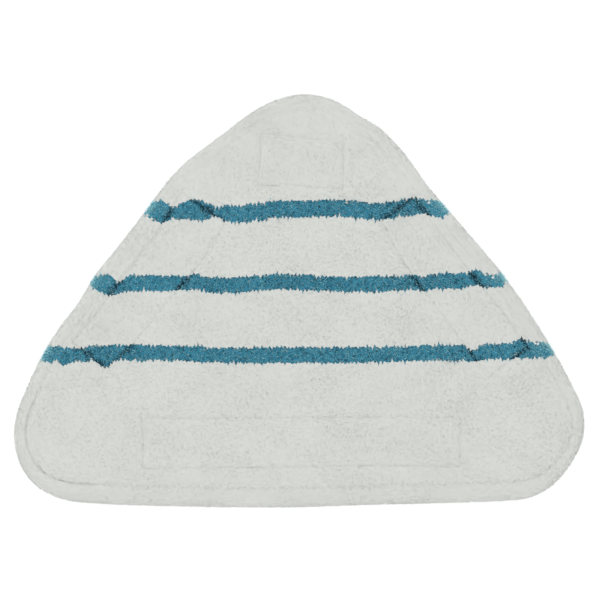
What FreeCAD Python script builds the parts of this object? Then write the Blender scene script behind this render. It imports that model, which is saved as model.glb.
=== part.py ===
import FreeCAD, Part
import math
import os

# Triangular cleaning pad for a steam mop, lying on its fastening tapes with the pile upwards.
# From the pile down it is a knitted face cloth with white pile and three blue stripes of pile,
# a wadding core, a backing cloth, and four strips of loop tape sewn under the backing.
# Face and backing are sewn together edge to edge and turned, so both have their edges folded
# inwards, and a topstitch runs round the rim. Every seam is a lockstitch of two threads. Each stitch
# is a half-round bar that lies on its cloth; the thread's way through the cloth is left out.
#
# Millimetres. +X is the pad's width, +Y points to the apex, +Z is up, out of the pile.
# The origin is the middle of the bounding box at the lowest plane, the loops of the tapes.

# ---- driving dimensions ----
WIDTH = 304.0
HEIGHT = 221.0
BASE_BOW_RADIUS = 1650.0
CORNER_RADIUS = 38.5
SIDE_BOW_RADIUS = 470.0
APEX_RADIUS = 42.0

LOOP_DEPTH = 1.2
RIBBON_THICK = 0.7
CLOTH_THICK = 0.9
PILE_DEPTH = 4.6

RIM_PILE = 3.2
SEAM_ALLOWANCE = 4.6
WADDING_GAP = 0.3
RIM_SEAM_MARGIN = 6.8
BASE_SEAM_MARGIN = 10.4
SEAM_CORNER_RADIUS = 28.5

STRIPE_WIDTH = 9.5
STRIPE_PITCH = 38.2
LOWEST_STRIPE_Y = -28.5

TAPE_WIDTH = 30.0
TAPE_SEAM_INSET = 1.75
SELVEDGE = 3.0
BASE_TAPE_LENGTH = 173.0
SIDE_TAPE_LENGTH = 101.5
APEX_TAPE_LENGTH = 49.0
BASE_TAPE_CENTRE = (0.0, -75.5)
SIDE_TAPE_CENTRE = (79.6, 9.4)
SIDE_TAPE_LEAN = 36.7
APEX_TAPE_CENTRE = (0.0, 74.3)

STITCH_LENGTH = 3.0
STITCH_GAP = 0.5
THREAD_RADIUS = 0.28
EDGE_THREAD_RADIUS = 0.2

PILE_SHOULDER_RADIUS = 4.4
PILE_SKIRT_DROP = 0.5
PILE_ROLL_WIDTH = 9.0
CREASE_DEPTH = 3.0
CREASE_HALF_WIDTH = 1.1
CUT_OVERSHOOT = 1.0
TUNNEL_HALF_WIDTH = 0.4
TUNNEL_HEIGHT = 0.55

# ---- levels, from the loops up ----
RIBBON_Z = LOOP_DEPTH
BACKING_Z = RIBBON_Z + RIBBON_THICK
CORE_Z = BACKING_Z + CLOTH_THICK
GROUND_Z = CORE_Z + 2 * CLOTH_THICK
PILE_Z = GROUND_Z + CLOTH_THICK
TOP_Z = PILE_Z + PILE_DEPTH
EDGE_SEAM_Z = CORE_Z + CLOTH_THICK
BOX_Z = 40.0

UP = FreeCAD.Vector(0, 0, 1)


def at(x, y, z=0.0):
    return FreeCAD.Vector(x, y, z)


# ---- the outline and the topstitch: six tangent arcs each, all bowed outwards ----


def outline_arcs():
    """The pad's outline and the line of its topstitch, which keeps further from the base than from the sides."""
    base = at(0, -HEIGHT / 2 + BASE_BOW_RADIUS)
    corner_x = WIDTH / 2 - CORNER_RADIUS
    corner_reach = BASE_BOW_RADIUS - CORNER_RADIUS
    corner = at(corner_x, base.y - math.sqrt(corner_reach**2 - corner_x**2))
    apex = at(0, HEIGHT / 2 - APEX_RADIUS)
    side = common_centre(corner, SIDE_BOW_RADIUS - CORNER_RADIUS, apex, SIDE_BOW_RADIUS - APEX_RADIUS)
    outline = six_arcs(
        (base, BASE_BOW_RADIUS),
        (corner, CORNER_RADIUS),
        (side, SIDE_BOW_RADIUS),
        (apex, APEX_RADIUS),
    )

    base_radius = BASE_BOW_RADIUS - BASE_SEAM_MARGIN
    side_radius = SIDE_BOW_RADIUS - RIM_SEAM_MARGIN
    seam_corner = common_centre(base, base_radius - SEAM_CORNER_RADIUS, side, side_radius - SEAM_CORNER_RADIUS)
    seam = six_arcs(
        (base, base_radius),
        (seam_corner, SEAM_CORNER_RADIUS),
        (side, side_radius),
        (apex, APEX_RADIUS - RIM_SEAM_MARGIN),
    )
    return outline, seam


def six_arcs(base, corner, side, apex):
    """A closed line of tangent arcs, anticlockwise from the left end of the base, from centres and radii.

    Each arc is its centre, radius, first angle and last angle, in radians.
    """
    low = bearing(base[0], corner[0])
    waist = bearing(side[0], corner[0])
    shoulder = bearing(side[0], apex[0])
    left_corner = at(-corner[0].x, corner[0].y)
    left_side = at(-side[0].x, side[0].y)
    return [
        (base[0], base[1], -math.pi - low, low),
        (corner[0], corner[1], low, waist),
        (side[0], side[1], waist, shoulder),
        (apex[0], apex[1], shoulder, math.pi - shoulder),
        (left_side, side[1], math.pi - shoulder, math.pi - waist),
        (left_corner, corner[1], math.pi - waist, math.pi - low),
    ]


def common_centre(a, reach_a, b, reach_b):
    """The point on the left at these two distances from a and b."""
    gap = b.sub(a)
    along = (reach_a**2 - reach_b**2 + gap.Length**2) / (2 * gap.Length)
    across = math.sqrt(reach_a**2 - along**2)
    unit = gap.multiply(1 / gap.Length)
    return at(a.x + unit.x * along - unit.y * across, a.y + unit.y * along + unit.x * across)


def bearing(a, b):
    return math.atan2(b.y - a.y, b.x - a.x)


def on_arc(centre, radius, angle, z=0.0):
    return at(centre.x + radius * math.cos(angle), centre.y + radius * math.sin(angle), z)


def outline_wire(inset, z):
    """The outline drawn in by inset, at height z."""
    edges = []
    for centre, radius, first, last in OUTLINE:
        angles = (first, (first + last) / 2, last)
        edges.append(Part.Arc(*[on_arc(centre, radius - inset, a, z) for a in angles]).toShape())
    return Part.Wire(edges)


def plate(inset, z, thick, open_inset=None):
    """A flat layer with the pad's outline, and open inside open_inset if that is given."""
    wires = [outline_wire(inset, z)]
    if open_inset is not None:
        wires.append(outline_wire(open_inset, z))
    return Part.makeFace(wires, "Part::FaceMakerBullseye").extrude(UP * thick)


def rim_ring(section, inset, arcs):
    """Turns a section round the whole of a line of arcs.

    section makes a face from a function that takes (distance outside the inset line, z).
    """
    pieces = []
    for centre, radius, first, last in arcs:
        def place(out, z, centre=centre, radius=radius, angle=first):
            return on_arc(centre, radius - inset + out, angle, z)

        turn = math.degrees(last - first)
        pieces.append(section(place).revolve(centre, UP, turn))
    return pieces[0].fuse(pieces[1:]).removeSplitter()


def polygon_face(points):
    return Part.Face(Part.makePolygon(points + points[:1]))


# ---- seams ----


def rim_seam():
    """The points where the rim's topstitch enters the cloth, evenly spaced along its line."""
    lengths = [radius * (last - first) for _, radius, first, last in SEAM_LINE]
    count = round(sum(lengths) / STITCH_LENGTH)
    step = sum(lengths) / count
    points = []
    done = 0.0
    for (centre, radius, first, _), length in zip(SEAM_LINE, lengths):
        while len(points) < count and len(points) * step < done + length:
            point = on_arc(centre, radius, first + (len(points) * step - done) / radius)
            points.append((point.x, point.y))
        done += length
    return points


def tape_seam(tape):
    """The points where a tape's box seam enters the cloth, with one at each corner."""
    corners = tape_corners(tape, -TAPE_SEAM_INSET)
    points = []
    for a, b in zip(corners, corners[1:] + corners[:1]):
        count = round(math.dist(a, b) / STITCH_LENGTH)
        for i in range(count):
            share = i / count
            points.append((a[0] + (b[0] - a[0]) * share, a[1] + (b[1] - a[1]) * share))
    return points


def stitch(span):
    """One stitch along +X, its flat side at z 0 and its round side up."""
    near = at(STITCH_GAP / 2, -THREAD_RADIUS)
    far = at(STITCH_GAP / 2, THREAD_RADIUS)
    bow = Part.Arc(near, at(STITCH_GAP / 2, 0, THREAD_RADIUS), far).toShape()
    section = Part.Face(Part.Wire([bow, Part.LineSegment(far, near).toShape()]))
    return section.extrude(at(span - STITCH_GAP, 0))


def seam_thread(points, z, side):
    """All the stitches of one thread, lying on the cloth's face at z: on top if side is 1, under it if -1."""
    made = {}
    stitches = []
    for a, b in zip(points, points[1:] + points[:1]):
        span = round(math.dist(a, b), 2)
        if span not in made:
            made[span] = stitch(span)
        one = made[span].copy()
        heading = math.degrees(math.atan2(b[1] - a[1], b[0] - a[0]))
        turn = FreeCAD.Rotation(UP, heading)
        if side < 0:
            turn = turn.multiply(FreeCAD.Rotation(at(1, 0), 180))
        one.Placement = FreeCAD.Placement(at(a[0], a[1], z), turn)
        stitches.append(one)
    return Part.makeCompound(stitches)


# ---- fastening tapes ----


def tape_corners(tape, grow=0.0):
    """The corners of a tape, grown by grow on every side, anticlockwise from its lower left."""
    (x, y), length, angle = tape
    half_length = length / 2 + grow
    half_width = TAPE_WIDTH / 2 + grow
    c = math.cos(math.radians(angle))
    s = math.sin(math.radians(angle))
    return [
        (x + c * u - s * v, y + s * u + c * v)
        for u, v in (
            (-half_length, -half_width),
            (half_length, -half_width),
            (half_length, half_width),
            (-half_length, half_width),
        )
    ]


def tape_wire(tape, grow, z):
    points = [at(x, y, z) for x, y in tape_corners(tape, grow)]
    return Part.makePolygon(points + points[:1])


def tape_ribbon(tape):
    """The woven ribbon of a loop tape."""
    return Part.Face(tape_wire(tape, 0, RIBBON_Z)).extrude(UP * RIBBON_THICK)


def tape_loops(tape):
    """The field of loops under a ribbon, between its bare selvedges.

    The loops run to the cut ends of the tape, with a channel where the seam crosses each end.
    """
    (x, y), length, angle = tape
    channel = 2 * TUNNEL_HALF_WIDTH
    inner = length - 2 * (TAPE_SEAM_INSET + channel / 2)
    tip = TAPE_SEAM_INSET - channel / 2
    spans = (
        (-length / 2, tip),
        (-inner / 2, inner),
        (length / 2 - tip, tip),
    )
    fields = []
    for start, size in spans:
        block = Part.makeBox(size, TAPE_WIDTH - 2 * SELVEDGE, LOOP_DEPTH)
        block.translate(at(start, -TAPE_WIDTH / 2 + SELVEDGE))
        block.Placement = FreeCAD.Placement(at(x, y), FreeCAD.Rotation(UP, angle)).multiply(block.Placement)
        fields.append(block)
    return Part.makeCompound(fields)


# ---- cloths and core ----


def folded_cloth(plain_z, folded_z):
    """A cloth whose edge is folded inwards on itself round the whole rim.

    plain_z is the underside of the open cloth, and folded_z that of the folded strip.
    """
    fold_inset = RIM_PILE + CLOTH_THICK
    middle_z = max(plain_z, folded_z)
    sheet = plate(fold_inset, plain_z, CLOTH_THICK)
    strip = plate(fold_inset, folded_z, CLOTH_THICK, RIM_PILE + SEAM_ALLOWANCE)

    def half_disc(place):
        bottom = place(0, middle_z - CLOTH_THICK)
        top = place(0, middle_z + CLOTH_THICK)
        bow = Part.Arc(bottom, place(CLOTH_THICK, middle_z), top).toShape()
        return Part.Face(Part.Wire([bow, Part.LineSegment(top, bottom).toShape()]))

    fold = rim_ring(half_disc, fold_inset, OUTLINE)
    return sheet.fuse([strip, fold]).removeSplitter()


def wadding():
    return plate(RIM_PILE + SEAM_ALLOWANCE + WADDING_GAP, CORE_Z, GROUND_Z - CORE_Z)


def edge_seam():
    """The thread of the seam that joins the two cloths, in the crevice between their folds."""
    radius = EDGE_THREAD_RADIUS

    def round_section(place):
        points = [place(-radius, EDGE_SEAM_Z + z) for z in (-radius, radius)]
        sides = [place(-2 * radius, EDGE_SEAM_Z), place(0, EDGE_SEAM_Z)]
        near = Part.Arc(points[0], sides[0], points[1]).toShape()
        far = Part.Arc(points[1], sides[1], points[0]).toShape()
        return Part.Face(Part.Wire([near, far]))

    return rim_ring(round_section, RIM_PILE, OUTLINE)


# ---- pile ----


def pile_blanket():
    """The pile before it is parted into white and blue: flat on top, and rolled over the rim."""
    inner = PILE_ROLL_WIDTH
    shoulder = PILE_SHOULDER_RADIUS
    skirt_z = BACKING_Z - PILE_SKIRT_DROP
    fold_top = PILE_Z - CLOTH_THICK

    def roll(place):
        over_fold = CLOTH_THICK * (math.sqrt(0.5) - 1)
        fold = Part.Arc(
            place(-CLOTH_THICK, PILE_Z),
            place(over_fold, fold_top + CLOTH_THICK * math.sqrt(0.5)),
            place(0, fold_top),
        )
        brow = Part.Arc(
            place(RIM_PILE, TOP_Z - shoulder),
            place(RIM_PILE - shoulder * (1 - math.sqrt(0.5)), TOP_Z - shoulder * (1 - math.sqrt(0.5))),
            place(RIM_PILE - shoulder, TOP_Z),
        )
        corners = [place(0, fold_top), place(0, CORE_Z), place(RIM_PILE / 3, skirt_z)]
        corners += [place(RIM_PILE, CORE_Z), place(RIM_PILE, TOP_Z - shoulder)]
        under = [Part.LineSegment(a, b).toShape() for a, b in zip(corners, corners[1:])]
        top = [place(RIM_PILE - shoulder, TOP_Z), place(-inner, TOP_Z), place(-inner, PILE_Z)]
        top.append(place(-CLOTH_THICK, PILE_Z))
        over = [Part.LineSegment(a, b).toShape() for a, b in zip(top, top[1:])]
        return Part.Face(Part.Wire([fold.toShape()] + under + [brow.toShape()] + over))

    middle = plate(RIM_PILE + inner, PILE_Z, PILE_DEPTH)
    return middle.fuse(rim_ring(roll, RIM_PILE, OUTLINE)).removeSplitter()


def seam_crease(tapes):
    """What every seam takes out of the pile: a crease from above and a tunnel for the thread."""
    floor_z = TOP_Z - CREASE_DEPTH
    above = CUT_OVERSHOOT
    spread = CREASE_HALF_WIDTH * (CREASE_DEPTH + above) / CREASE_DEPTH

    def notch(place):
        return polygon_face([place(0, floor_z), place(spread, TOP_Z + above), place(-spread, TOP_Z + above)])

    def tunnel(place):
        half = TUNNEL_HALF_WIDTH
        top = PILE_Z + TUNNEL_HEIGHT
        return polygon_face([place(-half, PILE_Z), place(half, PILE_Z), place(half, top), place(-half, top)])

    cutters = [rim_ring(notch, 0, SEAM_LINE), rim_ring(tunnel, 0, SEAM_LINE)]
    for tape in tapes:
        seam = tape_wire(tape, -TAPE_SEAM_INSET, floor_z)
        wide = tape_wire(tape, -TAPE_SEAM_INSET + spread, TOP_Z + above)
        narrow = tape_wire(tape, -TAPE_SEAM_INSET - spread, TOP_Z + above)
        cutters.append(Part.makeLoft([seam, wide], True, True).cut(Part.makeLoft([seam, narrow], True, True)))
        rim = Part.Face(tape_wire(tape, -TAPE_SEAM_INSET + TUNNEL_HALF_WIDTH, PILE_Z))
        core = Part.Face(tape_wire(tape, -TAPE_SEAM_INSET - TUNNEL_HALF_WIDTH, PILE_Z))
        cutters.append(rim.cut(core).extrude(UP * TUNNEL_HEIGHT))
    return cutters


def pile_bands(blanket):
    """The blanket parted across, from the base to the apex: white, blue, white and so on."""
    lines = [-HEIGHT]
    for i in range(3):
        middle = LOWEST_STRIPE_Y + i * STRIPE_PITCH
        lines += [middle - STRIPE_WIDTH / 2, middle + STRIPE_WIDTH / 2]
    lines.append(HEIGHT)
    names = (
        "pile_white_base",
        "pile_blue_lower",
        "pile_white_lower",
        "pile_blue_middle",
        "pile_white_upper",
        "pile_blue_upper",
        "pile_white_apex",
    )
    bands = {}
    for name, low, high in zip(names, lines, lines[1:]):
        window = Part.makeBox(2 * WIDTH, high - low, BOX_Z, at(-WIDTH, low, -BOX_Z / 4))
        bands[name] = blanket.common(window)
    return bands


# ---- the whole pad ----


def build():
    side_x, side_y = SIDE_TAPE_CENTRE
    tapes = {
        "apex": (APEX_TAPE_CENTRE, APEX_TAPE_LENGTH, 0.0),
        "left": ((-side_x, side_y), SIDE_TAPE_LENGTH, 90.0 - SIDE_TAPE_LEAN),
        "right": (SIDE_TAPE_CENTRE, SIDE_TAPE_LENGTH, 90.0 + SIDE_TAPE_LEAN),
        "base": (BASE_TAPE_CENTRE, BASE_TAPE_LENGTH, 0.0),
    }
    rim = rim_seam()

    nodes = {
        "face_ground": folded_cloth(GROUND_Z, EDGE_SEAM_Z),
        "backing_cloth": folded_cloth(BACKING_Z, CORE_Z),
        "wadding_core": wadding(),
        "edge_seam_thread": edge_seam(),
        "rim_stitch_needle_thread": seam_thread(rim, PILE_Z, 1),
        "rim_stitch_bobbin_thread": seam_thread(rim, BACKING_Z, -1),
    }
    nodes.update(pile_bands(pile_blanket().cut(seam_crease(tapes.values()))))
    for name, tape in tapes.items():
        seam = tape_seam(tape)
        nodes[f"{name}_tape_ribbon"] = tape_ribbon(tape)
        nodes[f"{name}_tape_loops"] = tape_loops(tape)
        nodes[f"{name}_tape_needle_thread"] = seam_thread(seam, PILE_Z, 1)
        nodes[f"{name}_tape_bobbin_thread"] = seam_thread(seam, RIBBON_Z, -1)
    return nodes


OUTLINE, SEAM_LINE = outline_arcs()


def main():
    os.makedirs("parts", exist_ok=True)
    for name, shape in build().items():
        shape.exportStep(f"parts/{name}.step")
        print(f"{name}: {len(shape.Solids)} solids, {shape.Volume:.1f} mm3, valid {shape.isValid()}")


main()
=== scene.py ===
import math
import bpy
import numpy as np
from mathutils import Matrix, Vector, geometry
from mathutils.bvhtree import BVHTree
from mathutils.kdtree import KDTree


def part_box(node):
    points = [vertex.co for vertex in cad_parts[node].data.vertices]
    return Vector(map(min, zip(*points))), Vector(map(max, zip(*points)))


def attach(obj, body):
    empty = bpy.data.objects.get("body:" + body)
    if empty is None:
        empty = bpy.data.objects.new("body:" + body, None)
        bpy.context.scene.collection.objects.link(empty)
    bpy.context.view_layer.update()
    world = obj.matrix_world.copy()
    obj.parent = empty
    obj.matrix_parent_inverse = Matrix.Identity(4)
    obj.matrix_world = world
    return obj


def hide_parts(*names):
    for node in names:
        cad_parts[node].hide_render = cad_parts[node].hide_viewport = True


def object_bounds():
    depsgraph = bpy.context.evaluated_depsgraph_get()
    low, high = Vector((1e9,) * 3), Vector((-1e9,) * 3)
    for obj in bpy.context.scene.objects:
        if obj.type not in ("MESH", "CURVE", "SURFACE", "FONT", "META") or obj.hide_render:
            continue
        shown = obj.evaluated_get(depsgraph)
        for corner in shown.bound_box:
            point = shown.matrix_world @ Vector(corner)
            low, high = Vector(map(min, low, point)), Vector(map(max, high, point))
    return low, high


# A triangular pad for a steam mop, lying on its fastening tapes with its pile upwards.
# Every piece is first made in its CAD place, in millimetres, and then settled: the cloths swell between
# their seams as a simulation says, the seams draw the layers together, and hand sewing pulls the whole
# pad a little out of true. The pile is cut tufts of pointed strands, which stand in a dense foot.

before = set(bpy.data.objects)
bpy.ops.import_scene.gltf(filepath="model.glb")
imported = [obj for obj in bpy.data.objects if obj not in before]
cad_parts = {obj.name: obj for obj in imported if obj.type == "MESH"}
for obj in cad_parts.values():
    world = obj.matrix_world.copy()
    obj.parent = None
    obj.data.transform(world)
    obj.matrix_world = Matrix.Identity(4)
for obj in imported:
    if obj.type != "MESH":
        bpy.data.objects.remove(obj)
CAD_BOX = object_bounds()
MM = 0.001
SEED = 11


def level(node, end):
    """The height of a CAD node's underside, for end 0, or its top, for end 1."""
    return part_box(node)[end].z / MM


# ---- sizes ----
WIDTH = (CAD_BOX[1].x - CAD_BOX[0].x) / MM
HEIGHT = (CAD_BOX[1].y - CAD_BOX[0].y) / MM
BASE_BOW_RADIUS = 1650.0
CORNER_RADIUS = 38.5
SIDE_BOW_RADIUS = 470.0
APEX_RADIUS = 42.0

RIBBON_Z = level("base_tape_ribbon", 0)
BACKING_Z = level("backing_cloth", 0)
CORE_Z = level("wadding_core", 0)
GROUND_Z = level("wadding_core", 1)
PILE_Z = level("face_ground", 1)
TOP_Z = CAD_BOX[1].z / MM
CLOTH = PILE_Z - GROUND_Z
PILE = TOP_Z - PILE_Z

# The cloths are folded in at FOLD_INSET from the pad's edge, and the strip folded in is STRIP wide. They are
# a little thinner than their CAD pieces, by CLOTH_SHARE, which leaves the folds room.
RIM_PILE = 3.2
FOLD_INSET = RIM_PILE + CLOTH
STRIP = 3.7
CLOTH_SHARE = 0.92
SEAM_ALLOWANCE = 4.6
WADDING_INSET = RIM_PILE + SEAM_ALLOWANCE + 0.3
SIDE_SEAM_INSET = 6.8
BASE_SEAM_INSET = 10.4
SEAM_CORNER_RADIUS = 28.5
STITCH = 3.0
THREAD = 0.24

# How far grids of points go beyond the pad's box.
MARGIN = 8.0

# A tape is its middle, length and heading, in millimetres and degrees.
TAPE_WIDTH = 30.0
TAPE_SEAM_INSET = 1.75
SELVEDGE = 3.0
TAPES = {
    "apex": ((0.0, 74.3), 49.0, 0.0),
    "left": ((-79.6, 9.4), 101.5, 53.3),
    "right": ((79.6, 9.4), 101.5, 126.7),
    "base": ((0.0, -75.5), 173.0, 0.0),
}

# A stripe of blue pile lies along its CAD band. It has a width, a slow drift up and down, as (x, rise)
# points, and kinks where seams cross it and at its ends, as (x, lower edge's rise, upper edge's rise).
KINK_REACH = 3.5
STRIPES = {
    "lower": (
        8.3,
        ((-130, -0.1), (-85, 0.9), (-30, -0.6), (30, -0.4), (80, 0.7), (125, 1.8)),
        ((-141, 3, -3), (-125, -1.3, -0.5), (-117, 0.3, -1.7), (-103, -3.3, 0), (92, -1, -3.3),
         (118.5, 0.4, 2.6), (138, 3, -3)),
    ),
    "middle": (
        8.2,
        ((-105, -0.8), (-80, -0.5), (-38, -1.6), (-10, 0.2), (30, -1.2), (80, 0.7), (105, 1.1)),
        ((-113, 3.5, -3.5), (-100, -2.3, 0.6), (-95.5, -0.6, -3.4), (-61, 1.2, 0), (-54.5, 0.8, 1),
         (65, -1.3, -1.5), (93.5, 1.2, 0.9), (101, 0.3, -1.8), (112, 3.5, -3.5)),
    ),
    "upper": (
        9.0,
        ((-75, -0.3), (-58, -0.1), (-32, -2.1), (-8, 0.3), (18, 0.9), (43, -0.8), (62, 1.9), (75, 0.2)),
        ((-84, 3.5, -3.5), (-72, -1.9, 0.9), (-66.5, 0, -2.9), (-55, -0.7, 1.8), (-43.5, 2.3, -1.6),
         (66.5, 0.9, -0.7), (82, 3.5, -3.5)),
    ),
}

# Where the sewing pulls the pad out of true: a place, how far it is moved, and how far round it that reaches.
PULLS = (
    (45, -110, 0.0, 1.5, 38),
    (-100, -108, 0.0, -0.9, 20),
    (146, -92, -2.0, 1.5, 15),
    (88, 42, -1.3, -1.0, 22),
    (42, 92, 1.4, 1.4, 16),
    (-22, 106, 1.1, -2.3, 17),
    (-64, 69, -1.8, 1.6, 14),
    (-96, 31, 0.8, -0.6, 13),
    (-119, -1, 1.4, -0.9, 9),
    (-148, -56, 1.3, -0.5, 11),
    (-141, -97, -1.4, -1.2, 14),
    (-100, -38, -3.0, 0.6, 14),
    (40, 41, 3.6, 1.2, 12),
    (61, 56, -0.3, -1.6, 10),
    (99, -38, 1.6, -2.8, 13),
    (120, -22, 1.4, -2.4, 11),
    (-21, 88, 1.0, 2.3, 8),
    (10, 87, 1.3, -1.5, 10),
    (23, 87, -1.2, -4.8, 6.5),
    (0, -75, 1.6, 0.0, 60),
    (-57, 22, 2.6, 0.0, 13),
    (54, 77, 1.3, 1.2, 15),
    (34, 93, 0.8, 1.3, 9),
    (-24, 74, 1.8, 0.0, 9),
    (18, 60, 0.0, -1.5, 9),
    (-85, -75, 1.8, 0.0, 14),
    (-92, -37, 0.0, 1.6, 5),
)


# ---- the outline: six tangent arcs ----


def common_centre(a, reach_a, b, reach_b):
    """The point on the left at these two distances from a and b."""
    gap = b - a
    length = np.hypot(*gap)
    along = (reach_a**2 - reach_b**2 + length**2) / (2 * length)
    across = math.sqrt(reach_a**2 - along**2)
    unit = gap / length
    return a + unit * along + np.array((-unit[1], unit[0])) * across


def bearing(a, b):
    return math.atan2(b[1] - a[1], b[0] - a[0])


def outline_arcs():
    """The pad's outline and the line of its topstitch."""
    base = np.array((0.0, BASE_BOW_RADIUS - HEIGHT / 2))
    corner_x = WIDTH / 2 - CORNER_RADIUS
    reach = BASE_BOW_RADIUS - CORNER_RADIUS
    corner = np.array((corner_x, base[1] - math.sqrt(reach**2 - corner_x**2)))
    apex = np.array((0.0, HEIGHT / 2 - APEX_RADIUS))
    side = common_centre(corner, SIDE_BOW_RADIUS - CORNER_RADIUS, apex, SIDE_BOW_RADIUS - APEX_RADIUS)
    radii = (BASE_BOW_RADIUS, CORNER_RADIUS, SIDE_BOW_RADIUS, APEX_RADIUS)
    low = BASE_BOW_RADIUS - BASE_SEAM_INSET
    high = SIDE_BOW_RADIUS - SIDE_SEAM_INSET
    inner = common_centre(base, low - SEAM_CORNER_RADIUS, side, high - SEAM_CORNER_RADIUS)
    seam_radii = (low, SEAM_CORNER_RADIUS, high, APEX_RADIUS - SIDE_SEAM_INSET)
    return six_arcs(base, corner, side, apex, radii), six_arcs(base, inner, side, apex, seam_radii)


def six_arcs(base, corner, side, apex, radii):
    """Each arc's centre, radius, and first and last angle, anticlockwise from the left end of the base."""
    low, waist, shoulder = bearing(base, corner), bearing(side, corner), bearing(side, apex)
    mirror = np.array((-1.0, 1.0))
    centres = (base, corner, side, apex, side * mirror, corner * mirror)
    ends = (-math.pi - low, low, waist, shoulder, math.pi - shoulder, math.pi - waist, math.pi - low)
    return tuple(zip(centres, [radii[i] for i in (0, 1, 2, 3, 2, 1)], ends, ends[1:]))


OUTLINE, SEAM_LINE = outline_arcs()


def project(p, arcs=OUTLINE):
    """How far inside a line of arcs each point is, and which way is out."""
    inset = np.full(len(p), np.inf)
    outward = np.zeros((len(p), 2))
    for centre, radius, first, last in arcs:
        ray = p - centre
        length = np.hypot(ray[:, 0], ray[:, 1])
        turn = np.arctan2(ray[:, 1], ray[:, 0]) - (first + last) / 2
        turn = (turn + math.pi) % (2 * math.pi) - math.pi
        nearer = (np.abs(turn) <= (last - first) / 2 + 1e-6) & (radius - length < inset)
        inset[nearer] = radius - length[nearer]
        outward[nearer] = ray[nearer] / length[nearer, None]
    return inset, outward


def perimeter(arcs):
    return sum(radius * (last - first) for _, radius, first, last in arcs)


def ring(inset, count, arcs=OUTLINE):
    """count points on a line of arcs drawn in by inset, abreast of those of every other ring."""
    points = []
    start = 0.0
    step = perimeter(arcs) / count
    for centre, radius, first, last in arcs:
        end = start + radius * (last - first)
        s = np.arange(math.ceil(start / step - 1e-9), math.ceil(end / step - 1e-9)) * step
        angle = first + (s - start) / radius
        points.append(centre + (radius - inset) * np.stack((np.cos(angle), np.sin(angle)), 1))
        start = end
    return np.concatenate(points)[:count]


# ---- seams ----


def tape_axes(tape):
    """A tape's middle, the directions along and across it, and its length."""
    (x, y), length, heading = tape
    a = math.radians(heading)
    along, across = np.array((math.cos(a), math.sin(a))), np.array((-math.sin(a), math.cos(a)))
    return np.array((x, y)), along, across, length


def tape_corners(tape, inset):
    middle, along, across, length = tape_axes(tape)
    u, v = length / 2 - inset, TAPE_WIDTH / 2 - inset
    return [middle + along * a * u + across * b * v for a, b in ((-1, -1), (1, -1), (1, 1), (-1, 1))]


def box_distance(p, tape, inset):
    """How far each point is from the edge of a tape drawn in by inset, less than 0 inside."""
    middle, along, across, length = tape_axes(tape)
    du = np.abs((p - middle) @ along) - (length / 2 - inset)
    dv = np.abs((p - middle) @ across) - (TAPE_WIDTH / 2 - inset)
    return np.hypot(np.maximum(du, 0), np.maximum(dv, 0)) + np.minimum(np.maximum(du, dv), 0)


def tape_seam_distance(p):
    """How far each point is from the nearest tape's seam."""
    return np.min([np.abs(box_distance(p, tape, TAPE_SEAM_INSET)) for tape in TAPES.values()], axis=0)


def seam_distance(p):
    """How far each point is from the nearest seam."""
    return np.minimum(np.abs(project(p, SEAM_LINE)[0]), tape_seam_distance(p))


# Painted shade along the tapes' seams, where the parted pile lies in shadow, in broken dashes.
PAINTED_SEAM_SHADE = 0.36
PAINTED_DASH_SHADE = 0.32


def stitch_dash(p):
    """A wave between -1 and 1, about as long as a stitch in any seam."""
    return np.sin(2.1 * p[:, 0] + 1.6 * p[:, 1])


def painted_seam_shade(p):
    """How much painted shade darkens the pile along the tapes' seams, in broken dashes."""
    return (PAINTED_SEAM_SHADE + PAINTED_DASH_SHADE * stitch_dash(p)) * np.exp(-tape_seam_distance(p) ** 2)


def box_points(tape, inset, spacing):
    """Points round a tape drawn in by inset, with one at each corner."""
    corners = tape_corners(tape, inset)
    points = []
    for a, b in zip(corners, corners[1:] + corners[:1]):
        count = round(np.hypot(*(b - a)) / spacing)
        points += [a + (b - a) * i / count for i in range(count)]
    return np.array(points)


# ---- plans: flat meshes over the pad ----


def hexagons(pitch, margin=0.0):
    """Points of a triangular lattice over the pad's box, in upright columns."""
    column = pitch * math.sqrt(3) / 2
    x = np.arange(-WIDTH / 2 - margin, WIDTH / 2 + margin, column)
    y = np.arange(-HEIGHT / 2 - margin, HEIGHT / 2 + margin, pitch)
    grid = np.stack(np.meshgrid(x, y, indexing="ij"), -1)
    grid[1::2, :, 1] += pitch / 2
    return grid.reshape(-1, 2)


def plan(insets, count, pitch, seam_lines=(0.0,), extra=()):
    """A flat mesh of rings at the insets, outermost first, round a field of triangles.

    The field has lines of points along the tapes' seams, at the offsets in seam_lines, and the extra points.
    """
    rings = [ring(inset, count) for inset in insets]
    boxes = [(tape, TAPE_SEAM_INSET + offset) for tape in TAPES.values() for offset in seam_lines]
    lines = np.concatenate([box_points(tape, inset, pitch * 0.8) for tape, inset in boxes])
    lines = lines[project(lines)[0] > insets[-1] + 0.3 * pitch]
    field = hexagons(pitch)
    field = field[project(field)[0] > insets[-1] + 0.6 * pitch]
    for tape, inset in boxes:
        field = field[np.abs(box_distance(field, tape, inset)) > 0.5 * pitch]
    if len(extra):
        extra = extra[project(extra)[0] > insets[-1] + 0.3 * pitch]
        lines = lines[clear_of(lines, extra, 0.4 * pitch)]
        field = field[clear_of(field, extra, 0.6 * pitch)]
        lines = np.concatenate((lines, extra))
    points = np.concatenate(rings + [lines, field])
    inner = (len(rings) - 1) * count
    flat = [Vector(q) for q in points[inner:]]
    found = geometry.delaunay_2d_cdt(flat, [], [], 0, 1e-5)
    old = np.array([o[0] for o in found[3]]) + inner
    faces = [old[np.array(found[2])]]
    if len(rings) > 1:
        i = np.arange(count)
        j = (i + 1) % count
        band = np.stack((i, j, j + count, i + count), 1)
        faces.append(np.concatenate([band + k * count for k in range(len(rings) - 1)]))
    return points, faces


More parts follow.
